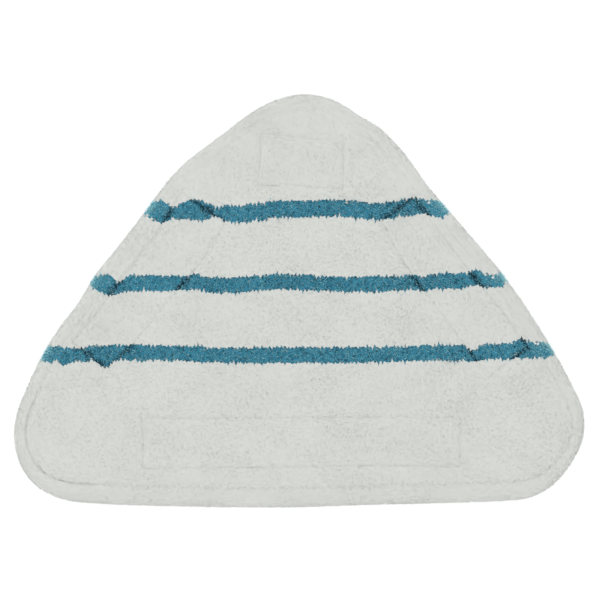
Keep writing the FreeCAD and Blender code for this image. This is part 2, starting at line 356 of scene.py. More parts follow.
def clear_of(points, others, gap):
    """Which points are more than gap from all the others."""
    tree = KDTree(len(others))
    for number, (x, y) in enumerate(others.tolist()):
        tree.insert((x, y, 0), number)
    tree.balance()
    return np.array([tree.find((x, y, 0))[2] > gap for x, y in points.tolist()])


def thick(top, bottom, faces):
    """A closed mesh between two copies of a flat one, walled along its edges."""
    n = len(top)
    tails = np.concatenate([f.ravel() for f in faces])
    heads = np.concatenate([np.roll(f, -1, axis=1).ravel() for f in faces])
    open_edge = ~np.isin(tails * n + heads, heads * n + tails)
    a, b = tails[open_edge], heads[open_edge]
    walls = np.stack((b, a, a + n, b + n), 1)
    under = [f[:, ::-1] + n for f in faces]
    return np.concatenate((top, bottom)), list(faces) + under + [walls]


# ---- meshes ----


def add_piece(name, verts, faces, material, nodes, shade=None):
    """Makes a piece from points in millimetres. It stands for the CAD nodes."""
    mesh = bpy.data.meshes.new(name)
    sizes = np.concatenate([np.full(len(f), f.shape[1]) for f in faces])
    corners = np.concatenate([f.ravel() for f in faces])
    mesh.vertices.add(len(verts))
    mesh.vertices.foreach_set("co", (verts * MM).astype(np.float32).ravel())
    mesh.loops.add(len(corners))
    mesh.loops.foreach_set("vertex_index", corners.astype(np.int32))
    mesh.polygons.add(len(sizes))
    mesh.polygons.foreach_set("loop_start", (np.cumsum(sizes) - sizes).astype(np.int32))
    mesh.update(calc_edges=True)
    mesh.validate()
    mesh.shade_smooth()
    if shade is not None:
        values = mesh.attributes.new("shade", "FLOAT", "POINT")
        values.data.foreach_set("value", shade.astype(np.float32))
    mesh.materials.append(material)
    piece = bpy.data.objects.new(name, mesh)
    bpy.context.scene.collection.objects.link(piece)
    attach(piece, "root")
    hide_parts(*nodes)
    return piece


# ---- how the pad settles ----


class Field:
    """Values on a regular grid over the pad, read in between."""

    STEP = 1.0
    SMOOTHING = 12
    HIGH_ABOVE = 100

    def __init__(self, verts, heights, faces):
        self.origin = np.array((-WIDTH / 2 - MARGIN, -HEIGHT / 2 - MARGIN))
        columns, rows = (np.ceil(-2 * self.origin / self.STEP).astype(int) + 1).tolist()
        surface = BVHTree.FromPolygons(
            [Vector((x, y, h)) for (x, y), h in zip(verts.tolist(), heights.tolist())],
            [f for group in faces for f in group.tolist()],
        )
        self.values = np.zeros((rows, columns))
        down = Vector((0, 0, -1))
        for r in range(rows):
            for c in range(columns):
                x, y = self.origin + (c * self.STEP, r * self.STEP)
                hit = surface.ray_cast(Vector((x, y, self.HIGH_ABOVE)), down)[0]
                self.values[r, c] = hit.z if hit else 0.0
        for _ in range(self.SMOOTHING):
            for axis in (0, 1):
                sides = np.roll(self.values, 1, axis) + np.roll(self.values, -1, axis)
                self.values = self.values / 2 + sides / 4

    def __call__(self, p):
        g = (p[:, :2] - self.origin) / self.STEP
        limit = np.array(self.values.shape[::-1]) - 1.001
        g = np.clip(g, 0, limit)
        c, r = g.astype(int).T
        u, v = (g - np.floor(g)).T
        z = self.values
        near = z[r, c] * (1 - u) + z[r, c + 1] * u
        far = z[r + 1, c] * (1 - u) + z[r + 1, c + 1] * u
        return near * (1 - v) + far * v


SWELL_FRAMES = 20
MOST_SWELL = 0.9


def soft_limit(values, limit):
    """The values, pressed together smoothly so that none is beyond the limit."""
    return limit * np.tanh(values / limit)


def inflate(body, held):
    """Blows up a closed cloth, pinned at the held points, and returns its points in millimetres."""
    pins = body.vertex_groups.new(name="seams")
    pins.add(held.tolist(), 1.0, "REPLACE")
    settings = body.modifiers.new("cloth", "CLOTH").settings
    settings.quality = 5
    settings.mass = 0.2
    settings.tension_stiffness = 12
    settings.compression_stiffness = 12
    settings.shear_stiffness = 4
    settings.bending_stiffness = 0.4
    settings.shrink_min = -0.012
    settings.vertex_group_mass = pins.name
    settings.use_pressure = True
    settings.uniform_pressure_force = 3.0
    settings.effector_weights.gravity = 0.0
    for number in range(1, SWELL_FRAMES + 1):
        bpy.context.scene.frame_set(number)
    swollen = body.evaluated_get(bpy.context.evaluated_depsgraph_get())
    moved = np.zeros(len(body.data.vertices) * 3, np.float32)
    swollen.to_mesh().vertices.foreach_get("co", moved)
    swollen.to_mesh_clear()
    bpy.context.scene.frame_set(1)
    return moved.reshape(-1, 3) / MM


def simulate_quilting():
    """Blows up the two cloths between their seams, and gives how far each one swells."""
    points, faces = plan((FOLD_INSET,), count=260, pitch=3.4, extra=ring(0, 240, SEAM_LINE))
    n = len(points)
    top = np.column_stack((points, np.full(n, PILE_Z)))
    bottom = np.column_stack((points, np.full(n, BACKING_Z)))
    verts, all_faces = thick(top, bottom, faces)
    mesh = bpy.data.meshes.new("quilting")
    mesh.from_pydata((verts * MM).tolist(), [], [f for group in all_faces for f in group.tolist()])
    body = bpy.data.objects.new("quilting", mesh)
    bpy.context.scene.collection.objects.link(body)
    held = (seam_distance(points) < 0.3) | (project(points, SEAM_LINE)[0] < 0.3)
    rise = inflate(body, np.flatnonzero(np.tile(held, 2)))[:, 2] - verts[:, 2]
    bpy.data.objects.remove(body)
    rise = soft_limit(rise, MOST_SWELL)
    return Field(points, rise[:n], faces), Field(points, rise[n:], faces)


TOP_SWELL, BOTTOM_SWELL = simulate_quilting()


# How deep the rim's seam draws the face, and where it is tighter: a place, how far round it that reaches,
# and how much deeper.
RIM_PINCH = 0.12
RIM_PINCH_REACH = 1.5
TIGHT = (
    (-128, -92, 17, 0.85),
    (-140, -57, 14, 0.45),
    (132, -90, 15, 0.3),
    (0, -108, 60, 0.1),
    (122, -50, 16, 0.15),
)
TAPE_PINCH = 0.24
TAPE_PINCH_REACH = 1.3
TAPE_HOLD = 6.0


def pinch(p):
    """How far the seams draw the face down: the rim's by its tightness, the tapes' a little unevenly."""
    x, y = p.T
    rim_depth = np.full(len(p), RIM_PINCH)
    for place_x, place_y, reach, more in TIGHT:
        rim_depth += more * np.exp(-((x - place_x) ** 2 + (y - place_y) ** 2) / (2 * reach**2))
    depth = rim_depth * np.exp(-(project(p, SEAM_LINE)[0] / RIM_PINCH_REACH) ** 2)
    tape_depth = TAPE_PINCH + 0.1 * np.sin(0.31 * x + 0.2 * np.sin(0.17 * y)) * np.sin(0.23 * y)
    for tape in TAPES.values():
        away = box_distance(p, tape, TAPE_SEAM_INSET)
        depth = np.maximum(depth, tape_depth * np.exp(-(away / TAPE_PINCH_REACH) ** 2))
    return depth


def tape_free(p):
    """1 away from the tapes and 0 over them, where the ribbons hold the backing flat."""
    near = np.min([box_distance(p, tape, 0.0) for tape in TAPES.values()], axis=0)
    return np.clip(near / TAPE_HOLD, 0, 1)


def settled_height(p, z):
    """Where the layer at height z lies after the pad has settled."""
    up = np.clip((z - CORE_Z) / (GROUND_Z - CORE_Z), 0, 1)
    drawn = np.clip((z - BACKING_Z) / (PILE_Z - BACKING_Z), 0, 1)
    return z + BOTTOM_SWELL(p) * tape_free(p) * (1 - up) + TOP_SWELL(p) * up - pinch(p) * drawn


def warp(p):
    """Moves points in plan, as the sewing pulls them."""
    moved = p.copy()
    for x, y, dx, dy, reach in PULLS:
        near = np.exp(-((p[:, 0] - x) ** 2 + (p[:, 1] - y) ** 2) / (2 * reach**2))
        moved[:, 0] += dx * near
        moved[:, 1] += dy * near
    return moved


def unwarp(moved):
    """Where points in plan came from."""
    p = moved.copy()
    for _ in range(6):
        p += moved - warp(p)
    return p


def settle(verts):
    """Moves points from their CAD places to where they lie in the sewn pad."""
    p = verts[:, :2]
    return np.column_stack((warp(p), settled_height(p, verts[:, 2])))


# ---- pile ----
# A tuft's strands spread to TUFT_RADIUS. A strand's two rings and its tip are each at a share of its height,
# of its spread and of its curl.
TUFT_PITCH = 1.15
TUFT_JITTER = 0.16 * TUFT_PITCH
TUFT_RADIUS = 0.55
STRANDS = 4
STRAND_RADIUS = 0.23
STRAND_RINGS = ((0.3, 0.5, 0.0), (0.72, 0.95, 0.15), (1.0, 1.0, 1.0))
STRAND_TRIANGLES = 10
MOST_TRIANGLES = 185000

# The pile rolls over the rim in an arc of ROLL_RADIUS, up to the angle ROLL_LIMIT. It is shorter by a share
# where it has turned to face outwards, and along the seams.
ROLL_RADIUS = 5.2
ROLL_LIMIT = 2.3
RIM_SHORTER = 0.16
SEAM_SHORTER = 0.1

# The pile is parted along the seams by about this much to each side, more and less by turns.
PARTING = 0.35
PARTING_DASH = 0.22

# The pile's foot reaches up to this share of the pile's height.
FOOT_SHARE = {"white": 0.78, "blue": 0.6}
# Where the foot lies on the pile's colour ramp: painted shade, of the deep pile under the strands.
PAINTED_FOOT_SHADE = 0.3

# A stripe's edge has a tooth for every column of tufts, up or down in turn, and of uneven height.
TOOTH = TUFT_PITCH * math.sqrt(3) / 2
FIRST_TOOTH = 4
TOOTH_WANDER = 0.2
LEAST_TOOTH = 0.25
TOOTH_RANGE = 1.4

# Shade is 0 at the darkest root and 1 at the lightest tip; the roots' darkness is painted shade, of the
# pile's depth. Tufts and their strands differ by about TUFT_TONE and STRAND_TONE, some strands are
# specks, the dark ones painted shade of deep gaps between tufts, and the pile at the rim is lighter,
# painted light.
PAINTED_STRAND_SHADES = (0.2, 0.55, 0.85)
TUFT_TONE = 0.24
STRAND_TONE = 0.16
SPECK_TONES = (-0.6, 0.0, 0.5)
SPECK_SHARES = (0.1, 0.8, 0.1)
PAINTED_RIM_LIGHT = 0.35
PAINTED_RIM_LIGHT_INSET = 9.8
PAINTED_RIM_LIGHT_FADE = 2.0


def pile_frame(p):
    """Each tuft's foot, direction, length and distance from a seam, for points on the cloth unrolled."""
    inset, outward = project(p)
    turn = np.clip((FOLD_INSET - inset) / ROLL_RADIUS, 0, ROLL_LIMIT)
    over = np.where(turn > 0, inset - FOLD_INSET + CLOTH * np.sin(turn), 0.0)
    foot = p + outward * over[:, None]
    step = 0.4
    z = PILE_Z - CLOTH * (1 - np.cos(turn))
    height = settled_height(foot, z)
    flat = np.clip(1 - turn, 0, 1)
    tilt_x = (settled_height(foot + (step, 0), z) - height) / step * flat
    tilt_y = (settled_height(foot + (0, step), z) - height) / step * flat
    lean = 0.5
    axis = np.column_stack((
        outward[:, 0] * np.sin(turn) - lean * tilt_x,
        outward[:, 1] * np.sin(turn) - lean * tilt_y,
        np.cos(turn),
    ))
    axis /= np.linalg.norm(axis, axis=1)[:, None]
    seam = seam_distance(p)
    length = PILE * (1 - RIM_SHORTER * np.clip(turn / (math.pi / 2), 0, 1.3))
    length *= 1 - SEAM_SHORTER * np.exp(-(seam / 0.8) ** 2)
    return np.column_stack((warp(foot), height)), axis, length, seam


def wander(x, xs, values):
    """A smooth line through points."""
    i = np.clip(np.searchsorted(xs, x) - 1, 0, len(xs) - 2)
    t = np.clip((x - xs[i]) / (xs[i + 1] - xs[i]), 0, 1)
    return values[i] + (values[i + 1] - values[i]) * (1 - np.cos(math.pi * t)) / 2


def scatter(k):
    """An even scatter of numbers from 0 to 1, one for each whole number k."""
    return np.sin(k * 127.1 + 311.7) * 43758.5453 % 1


def tooth(k, side, number):
    """How far tooth k stands up from the lower edge of a stripe, for side 0, or the upper, for side 1."""
    return (-1) ** (k + side) * (LEAST_TOOTH + TOOTH_RANGE * scatter(k + 1000 * (side + 2 * number)) ** 1.6)


def stripe_edges(x, number):
    """The lower and upper edge of a stripe, with its drift, kinks and teeth."""
    name, (width, drift, kinks) = list(STRIPES.items())[number]
    xs, rise = np.array(drift, float).T
    middle = sum(corner.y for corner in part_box(f"pile_blue_{name}")) / 2 / MM + wander(x, xs, rise)
    near = [np.exp(-((x - place) / KINK_REACH) ** 2) for place, _, _ in kinks]
    where = (x + WIDTH / 2 + MARGIN + TOOTH_WANDER * np.sin(x / 5 + number)) / TOOTH + FIRST_TOOTH
    k = np.floor(where)
    edges = []
    for side in (0, 1):
        line = middle + (side - 0.5) * width + sum(n * kink[side + 1] for n, kink in zip(near, kinks))
        here, after = tooth(k, side, number), tooth(k + 1, side, number)
        edges.append(line + here + (after - here) * (where - k))
    return edges


def stripe_of(p, noise):
    """Which stripe each point, moved up by the noise, lies in, or -1, and how many stripes lie below it."""
    inside = np.full(len(p), -1)
    below = np.zeros(len(p), int)
    y = p[:, 1] + noise
    for number in range(len(STRIPES)):
        low, high = stripe_edges(p[:, 0], number)
        inside[(y > low) & (y < high)] = number
        below += p[:, 1] > (low + high) / 2
    return inside, below


def stripe_lines():
    """Points along the stripes' edges, one at the tip and one at the root of every tooth."""
    x = np.arange(-WIDTH / 2, WIDTH / 2, 0.8 * TOOTH)
    lines = [np.column_stack((x, edge)) for number in range(len(STRIPES)) for edge in stripe_edges(x, number)]
    return unwarp(np.concatenate(lines))


def tuft_strands(foot, axis, length, light, rng):
    """The strands of every tuft, spread like a dandelion's head and curled at their tips.

    A strand is a three-sided tube of two rings, its seventh point the tip.
    """
    n = len(foot)
    side = np.cross(axis, (0.0, 1.0, 0.0))
    side /= np.linalg.norm(side, axis=1)[:, None]
    front = np.cross(axis, side)

    def around(angle):
        return np.cos(angle)[..., None] * side[:, None] + np.sin(angle)[..., None] * front[:, None]

    i = np.arange(STRANDS)
    share = np.sqrt((i + 0.5) / STRANDS)
    angle = i * math.pi * (3 - math.sqrt(5)) + rng.uniform(0, 2 * math.pi, (n, 1))
    angle = angle + rng.normal(0, 0.25, (n, STRANDS))
    spread = TUFT_RADIUS * share * rng.uniform(0.8, 1.2, (n, STRANDS))
    curl = around(angle + rng.normal(0, 1.2, (n, STRANDS)))
    curl = curl * rng.uniform(0.1, 0.45, (n, STRANDS, 1))
    tall = length[:, None] * (1 - 0.16 * share**2) * rng.uniform(0.9, 1.06, (n, STRANDS))
    centres = []
    for climb, fan, bend in STRAND_RINGS:
        centre = foot[:, None] + axis[:, None] * (tall * climb)[..., None]
        centres.append(centre + around(angle) * (spread * fan)[..., None] + curl * bend)
    spin = rng.uniform(0, 2 * math.pi, (n, STRANDS))
    verts = np.zeros((n, STRANDS, 7, 3))
    for ring_number, radius in enumerate((STRAND_RADIUS * 0.9, STRAND_RADIUS)):
        for corner in range(3):
            offset = around(spin + corner * 2 * math.pi / 3)
            verts[:, :, ring_number * 3 + corner] = centres[ring_number] + offset * radius
    verts[:, :, 6] = centres[2]
    start = (np.arange(n * STRANDS) * 7)[:, None]
    sides = ((0, 1), (1, 2), (2, 0))
    quads = np.concatenate([start + (a, b, b + 3, a + 3) for a, b in sides])
    tris = np.concatenate([start + (3 + a, 3 + b, 6) for a, b in sides] + [start + (2, 1, 0)])
    tone = rng.normal(0, TUFT_TONE, (n, 1, 1)) + rng.normal(0, STRAND_TONE, (n, STRANDS, 1))
    # light holds the painted light at the rim and the painted shade along the tapes' seams.
    tone = tone + light[:, None, None]
    # A tenth of the strands are dark specks, painted shade of deep gaps, and a tenth are lighter ones.
    tone += rng.choice(SPECK_TONES, (n, STRANDS, 1), p=SPECK_SHARES)
    # Roots darker than tips: painted shade of the pile's depth.
    shade = np.repeat(PAINTED_STRAND_SHADES, (3, 3, 1)) + tone
    return verts.reshape(-1, 3), [quads, tris], np.clip(shade, 0, 1).ravel()


def pile_nodes():
    """Each pile node, with its colour and the stripe it is, or how many stripes lie below it."""
    blue = [(f"pile_blue_{name}", "blue", number) for number, name in enumerate(STRIPES)]
    white = enumerate(("base", "lower", "upper", "apex"))
    return blue + [(f"pile_white_{name}", "white", number) for number, name in white]


def chosen(colour, number, stripe, band):
    """Which points belong to a pile node, from stripe_of."""
    return stripe == number if colour == "blue" else (stripe < 0) & (band == number)


def drop_unused(verts, faces):
    """The points that the faces use, which of all the points these are, and the faces over them."""
    used, fresh = np.unique(np.concatenate([f.ravel() for f in faces]), return_inverse=True)
    sizes = np.cumsum([f.size for f in faces])[:-1]
    return verts[used], used, [part.reshape(-1, f.shape[1]) for part, f in zip(np.split(fresh, sizes), faces)]


def pile_ground(materials):
    """The dense foot of the pile, under the strands."""
    insets = tuple(np.arange(FOLD_INSET - 2.2 * ROLL_RADIUS, 9.0, 1.2))
    extra = np.concatenate((stripe_lines(), ring(0, 560, SEAM_LINE)))
    p, faces = plan(insets, count=700, pitch=1.7, seam_lines=(-1.0, 0.0, 1.0), extra=extra)
    foot, axis, length, _ = pile_frame(p)
    half_way = foot + axis * (0.5 * length)[:, None]
    middles = [half_way[f].mean(1)[:, :2] for f in faces]
    stripes = [stripe_of(m, np.zeros(len(m))) for m in middles]
    for node, colour, number in pile_nodes():
        here = [f[chosen(colour, number, *of)] for f, of in zip(faces, stripes)]
        top = foot + axis * (FOOT_SHARE[colour] * length)[:, None]
        body, used, body_faces = drop_unused(*thick(top, foot, here))
        # The foot's colour is painted shade, darker still along the tapes' seams.
        shade = np.maximum(PAINTED_FOOT_SHADE - painted_seam_shade(p[used % len(p)]), 0)
        slot = f"pile_{colour}"
        piece = add_piece(node, body, body_faces, materials[slot], [node], shade)
        piece.data.set_sharp_from_angle(angle=math.radians(50))


def plant_tufts(rng):
    """Places in plan for the tufts, parted along the seams, with their feet, directions and lengths."""
    p = hexagons(TUFT_PITCH, MARGIN)
    p = p + rng.normal(0, TUFT_JITTER, p.shape)
    p = p[project(p)[0] > FOLD_INSET - ROLL_LIMIT * ROLL_RADIUS]
    foot, axis, length, seam = pile_frame(p)
    parting = rng.uniform(-PARTING, PARTING, len(seam)) + PARTING_DASH * stitch_dash(p)
    open_pile = seam > parting
    return [values[open_pile] for values in (p, foot, axis, length)]


def brush(foot, axis, length, rng):
    """The tufts' directions and lengths with broad patches of nap, and each tuft a little its own way."""
    n = len(foot)
    x, y, _ = foot.T
    broad = np.sin(x / 9 + 2 * np.sin(y / 13)) * np.sin(y / 8 + np.sin(x / 17))
    length = length * (1 + 0.03 * broad) * rng.normal(1, 0.03, n)
    nap = np.column_stack((0.04 + 0.04 * broad, np.full(n, -0.04), np.zeros(n)))
    axis = axis + nap + rng.normal(0, 0.07, (n, 3))
    return axis / np.linalg.norm(axis, axis=1)[:, None], length


def pile_pieces(materials):
    """The tufts of every pile node, in pieces of at most MOST_TRIANGLES."""
    rng = np.random.default_rng(SEED)
    p, foot, axis, length = plant_tufts(rng)
    axis, length = brush(foot, axis, length, rng)
    tops = foot + axis * length[:, None]
    n = len(foot)
    stray = rng.normal(0, 0.25, n) + np.where(rng.random(n) < 0.14, rng.normal(0, 1.3, n), 0)
    stripe, band = stripe_of((0.5 * foot + 0.5 * tops)[:, :2], stray)
    # Painted light where the pile rolls over the rim, and painted shade along the tapes' seams.
    painted_rim_light = PAINTED_RIM_LIGHT * np.clip((PAINTED_RIM_LIGHT_INSET - project(p)[0]) / PAINTED_RIM_LIGHT_FADE, 0, 1)
    light = painted_rim_light - painted_seam_shade(p)
    for node, colour, number in pile_nodes():
        mine = np.flatnonzero(chosen(colour, number, stripe, band))
        mine = mine[np.argsort(foot[mine, 0])]
        count = math.ceil(len(mine) * STRANDS * STRAND_TRIANGLES / MOST_TRIANGLES)
        slot = f"pile_{colour}"
        for part, share in enumerate(np.array_split(mine, count), 1):
            verts, faces, shade = tuft_strands(foot[share], axis[share], length[share], light[share], rng)
            name = f"{node}_tufts" if count == 1 else f"{node}_tufts_{part}"
            add_piece(name, verts, faces, materials[slot], [node], shade)


# ---- cloths and core ----


def folded_cloth(name, axis_z, side, materials):
    """A cloth with its edge folded in round the rim.

    axis_z is the height of the fold's middle, and side is 1 if the strip folded in lies under the cloth.
    """
    arm = CLOTH / 2
    end = FOLD_INSET - math.pi * arm - STRIP
    bend = [FOLD_INSET - arm * math.pi * k / 6 for k in range(6, -1, -1)]
    insets = [end, end + STRIP / 2] + bend + [5.4, 6.8, 8.2]
    extra = ring(0, 420, SEAM_LINE)
    points, faces = plan(insets, count=420, pitch=2.6, seam_lines=(-1.2, 0.0, 1.2), extra=extra)
    inset, outward = project(points)
    gone = np.maximum(FOLD_INSET - inset, 0)
    turn = np.minimum(gone / arm, math.pi)
    back = np.maximum(gone - math.pi * arm, 0)
    foot = points + outward * (arm * np.sin(turn) - gone - back)[:, None]
    middle = np.column_stack((foot, axis_z + side * arm * np.cos(turn)))
    way_out = np.column_stack((outward * np.sin(turn)[:, None], side * np.cos(turn)))
    half = CLOTH_SHARE * CLOTH / 2
    outer, inner = settle(middle + way_out * half), settle(middle - way_out * half)
    if side < 0:
        outer, inner = inner, outer
    verts, all_faces = thick(outer, inner, faces)
    piece = add_piece(name, verts, all_faces, materials[name], [name])


def wadding(materials):
    """The padding, thinner under the seams and rounded at its edge."""
    insets = [WADDING_INSET + more for more in (0, 0.5, 1.2, 2.2, 3.6)]
    points, faces = plan(insets, count=380, pitch=3.0, seam_lines=(-1.2, 0.0, 1.2))
    inside = np.clip((project(points)[0] - WADDING_INSET) / 3.0, 0, 1)
    half = (GROUND_Z - CORE_Z) / 2 * (0.35 + 0.6 * np.sqrt(1 - (1 - inside) ** 2))
    middle = (GROUND_Z + CORE_Z) / 2
    top = settle(np.column_stack((points, middle + half)))
    bottom = settle(np.column_stack((points, middle - half)))
    verts, all_faces = thick(top, bottom, faces)
    piece = add_piece("wadding_core", verts, all_faces, materials["wadding"], ["wadding_core"])


# ---- fastening tapes ----
RIB_PITCH = 1.2
RIB_HEIGHT = 0.03
LOOP_PITCH = 1.0
LOOP_JITTER = 0.2
LOOP_THREAD = 0.085
LOOP_LEAN = 0.35
LOOP_HEIGHTS = (0.75, 1.06)
LOOP_HALF_WIDTHS = (0.35, 0.62)
SEAM_CLEARANCE = 0.45


def tape_plan(tape, size_u, size_v):
    """A grid of points over a tape, its faces, and each point's place along and across the tape."""
    middle, along, across, length = tape_axes(tape)
    u = np.linspace(-length / 2, length / 2, round(length / size_u) + 1)
    v = np.linspace(-TAPE_WIDTH / 2, TAPE_WIDTH / 2, round(TAPE_WIDTH / size_v) + 1)
    grid_u, grid_v = (g.ravel() for g in np.meshgrid(u, v, indexing="ij"))
    points = middle + grid_u[:, None] * along + grid_v[:, None] * across
    i = (np.arange(len(u) - 1)[:, None] * len(v) + np.arange(len(v) - 1)).ravel()
    faces = [np.stack((i, i + len(v), i + len(v) + 1, i + 1), 1)]
    return points, faces, grid_u, grid_v


def tape_ribbon(name, tape, materials):
    """A woven ribbon with cross ribs, rounded selvedges and ends cut with a hot knife."""
    points, faces, u, v = tape_plan(tape, 0.4, 0.75)
    length = tape[1]
    rim = np.clip((TAPE_WIDTH / 2 - np.abs(v)) / 0.9, 0, 1)
    half = (BACKING_Z - RIBBON_Z) / 2 * (0.45 + 0.5 * np.sqrt(1 - (1 - rim) ** 2))
    half += RIB_HEIGHT * np.cos(2 * math.pi * u / RIB_PITCH) * rim
    melted = np.abs(u) > length / 2 - 0.5
    half[melted] *= 1.04
    middle = (BACKING_Z + RIBBON_Z) / 2
    top = settle(np.column_stack((points, middle + half)))
    bottom = settle(np.column_stack((points, middle - half)))
    verts, all_faces = thick(top, bottom, faces)
    node = f"{name}_tape_ribbon"
    return add_piece(node, verts, all_faces, materials["tape_ribbon"], [node])


def tubes(centres, sides, fronts, radii, corners):
    """Closed tubes along many paths at once. Every array is (tubes, rings, ...)."""
    count, rings = centres.shape[:2]
    angle = np.arange(corners) * 2 * math.pi / corners
    spoke = np.cos(angle)[:, None] * sides[:, :, None] + np.sin(angle)[:, None] * fronts[:, :, None]
    verts = (centres[:, :, None] + spoke * radii[..., None, None]).reshape(-1, 3)
    start = (np.arange(count) * rings * corners)[:, None, None]
    along = (np.arange(rings - 1) * corners)[:, None]
    i = np.arange(corners)
    j = (i + 1) % corners
    base = start + along
    walls = np.stack((base + i, base + j, base + j + corners, base + i + corners), -1).reshape(-1, 4)
    fan = np.arange(1, corners - 1)
    near = (np.arange(count) * rings * corners)[:, None]
    far = near + (rings - 1) * corners
    first = np.stack(np.broadcast_arrays(near, near + fan + 1, near + fan), -1).reshape(-1, 3)
    last = np.stack(np.broadcast_arrays(far, far + fan, far + fan + 1), -1).reshape(-1, 3)
    return verts, [walls, np.concatenate((first, last))]


def tape_loops(name, tape, rng, materials):
    """Many small loops of thread under a ribbon, leaning every way."""
    middle, along, across, length = tape_axes(tape)
    u, v = np.meshgrid(
        np.arange(-length / 2 + 0.5, length / 2 - 0.4, LOOP_PITCH),
        np.arange(-TAPE_WIDTH / 2 + SELVEDGE + 0.4, TAPE_WIDTH / 2 - SELVEDGE, LOOP_PITCH),
    )
    u, v = u.ravel(), v.ravel()
    u = u + rng.normal(0, LOOP_JITTER, len(u))
    v = v + rng.normal(0, LOOP_JITTER, len(v))
    clear = np.abs(np.abs(u) - (length / 2 - TAPE_SEAM_INSET)) > SEAM_CLEARANCE
    u, v = u[clear], v[clear]
    n = len(u)
    heading = rng.uniform(0, math.pi, n)
    run = along * np.cos(heading)[:, None] + across * np.sin(heading)[:, None]
    flat = middle + u[:, None] * along + v[:, None] * across
    run = np.column_stack((run, np.zeros(n)))
    lean = rng.normal(0, LOOP_LEAN, n)
    across_run = np.cross(run, (0.0, 0.0, 1.0))
    down = across_run * np.sin(lean)[:, None] - np.array((0, 0, 1.0)) * np.cos(lean)[:, None]
    tall = rng.uniform(*LOOP_HEIGHTS, n)
    wide = rng.uniform(*LOOP_HALF_WIDTHS, n)
    base = np.column_stack((flat, settled_height(flat, np.full(n, RIBBON_Z))))
    phase = np.linspace(0, math.pi, 6)
    centres = base[:, None] + run[:, None] * (-np.cos(phase) * wide[:, None])[..., None]
    centres += down[:, None] * ((np.sin(phase) ** 0.8 * tall[:, None]) - 0.06)[..., None]
    spread = run[:, None] * np.cos(phase)[:, None] - down[:, None] * np.sin(phase)[:, None]
    side = np.broadcast_to(np.cross(run, down)[:, None], spread.shape)
    verts, faces = tubes(centres, side, spread, np.full((n, 6), LOOP_THREAD), 3)
    verts = np.column_stack((warp(verts[:, :2]), np.maximum(verts[:, 2], 0.0)))
    node = f"{name}_tape_loops"
    return add_piece(node, verts, faces, materials["tape_loops"], [node])


# ---- threads ----
# A stitch as (share of the way along it, rise above the cloth) points.
STITCH_PATH = (
    (0.03, -0.75), (0.07, -0.25), (0.15, 0.1), (0.3, 0.2), (0.5, 0.22), (0.7, 0.2), (0.85, 0.1),
    (0.93, -0.25), (0.97, -0.75),
)
EDGE_THREAD = 0.18
EDGE_THREAD_INSET = RIM_PILE + 0.2
EDGE_ZIGZAG = 0.1


def seam_thread(node, points, z, side, materials):
    """One thread of a seam: a bar for every stitch, which dives into the cloth at both ends."""
    a, b = points, np.roll(points, -1, axis=0)
    n = len(a)
    share, rise = np.array(STITCH_PATH).T
    rise = rise * side
    flat = a[:, None] + (b - a)[:, None] * share[:, None]
    height = settled_height(flat.reshape(-1, 2), np.full(n * len(share), z)).reshape(n, -1)
    centres = np.dstack((warp(flat.reshape(-1, 2)).reshape(n, -1, 2), height + rise))
    run = np.gradient(centres, axis=1)
    run /= np.linalg.norm(run, axis=2)[..., None]
    heading = b - a
    heading = heading / np.linalg.norm(heading, axis=1)[:, None]
    lateral = np.column_stack((-heading[:, 1], heading[:, 0], np.zeros(n)))
    sides = np.broadcast_to(lateral[:, None], run.shape)
    fronts = np.cross(run, sides)
    verts, faces = tubes(centres, sides, fronts, np.full(run.shape[:2], THREAD), 6)
    add_piece(node, verts, faces, materials["thread"], [node])


def edge_seam(materials):
    """The thread that joins the two cloths, in the crevice between their folds."""
    count = 560
    flat = ring(EDGE_THREAD_INSET, count)
    outward = project(flat)[1]
    flat = flat + outward * (EDGE_ZIGZAG * np.cos(np.arange(count) * math.pi))[:, None]
    heights = settled_height(flat, np.full(count, CORE_Z + CLOTH))
    centres = np.column_stack((warp(flat), heights))
    corners = 5
    angle = np.arange(corners) * 2 * math.pi / corners
    out = np.column_stack((outward, np.zeros(count)))
    spoke = np.cos(angle)[:, None] * out[:, None] + np.sin(angle)[:, None] * np.array((0, 0, 1.0))
    verts = (centres[:, None] + spoke * EDGE_THREAD).reshape(-1, 3)
    i = np.arange(count)[:, None] * corners
    k = (np.arange(count)[:, None] + 1) % count * corners
    j = np.arange(corners)
    walls = np.stack((i + j, k + j, k + (j + 1) % corners, i + (j + 1) % corners), -1).reshape(-1, 4)
    add_piece("edge_seam_thread", verts, [walls], materials["thread"], ["edge_seam_thread"])


def add_fastenings(materials):
    """The four tapes with their loops and seams."""
    rng = np.random.default_rng(SEED + 1)
    for name, tape in TAPES.items():
        seam = box_points(tape, TAPE_SEAM_INSET, STITCH)
        ribbon = tape_ribbon(name, tape, materials)
        loops = tape_loops(name, tape, rng, materials)
        seam_thread(f"{name}_tape_needle_thread", seam, PILE_Z, 1, materials)
        seam_thread(f"{name}_tape_bobbin_thread", seam, RIBBON_Z, -1, materials)


def add_rim_seam(materials):
    """The topstitch round the rim."""
    seam = ring(0, round(perimeter(SEAM_LINE) / STITCH), SEAM_LINE)
    seam_thread("rim_stitch_needle_thread", seam, PILE_Z, 1, materials)
    seam_thread("rim_stitch_bobbin_thread", seam, BACKING_Z, -1, materials)


# ---- materials ----


def principled(name, sheen=0.0):
    """A matt material, with its node tree and shader."""
    material = bpy.data.materials.new(name)
    material.use_nodes = True
    shader = material.node_tree.nodes["Principled BSDF"]
    shader.inputs["Roughness"].default_value = 0.9
    shader.inputs["Specular IOR Level"].default_value = 0.2
    shader.inputs["Sheen Weight"].default_value = sheen
    shader.inputs["Sheen Roughness"].default_value = 0.5
    return material, material.node_tree, shader


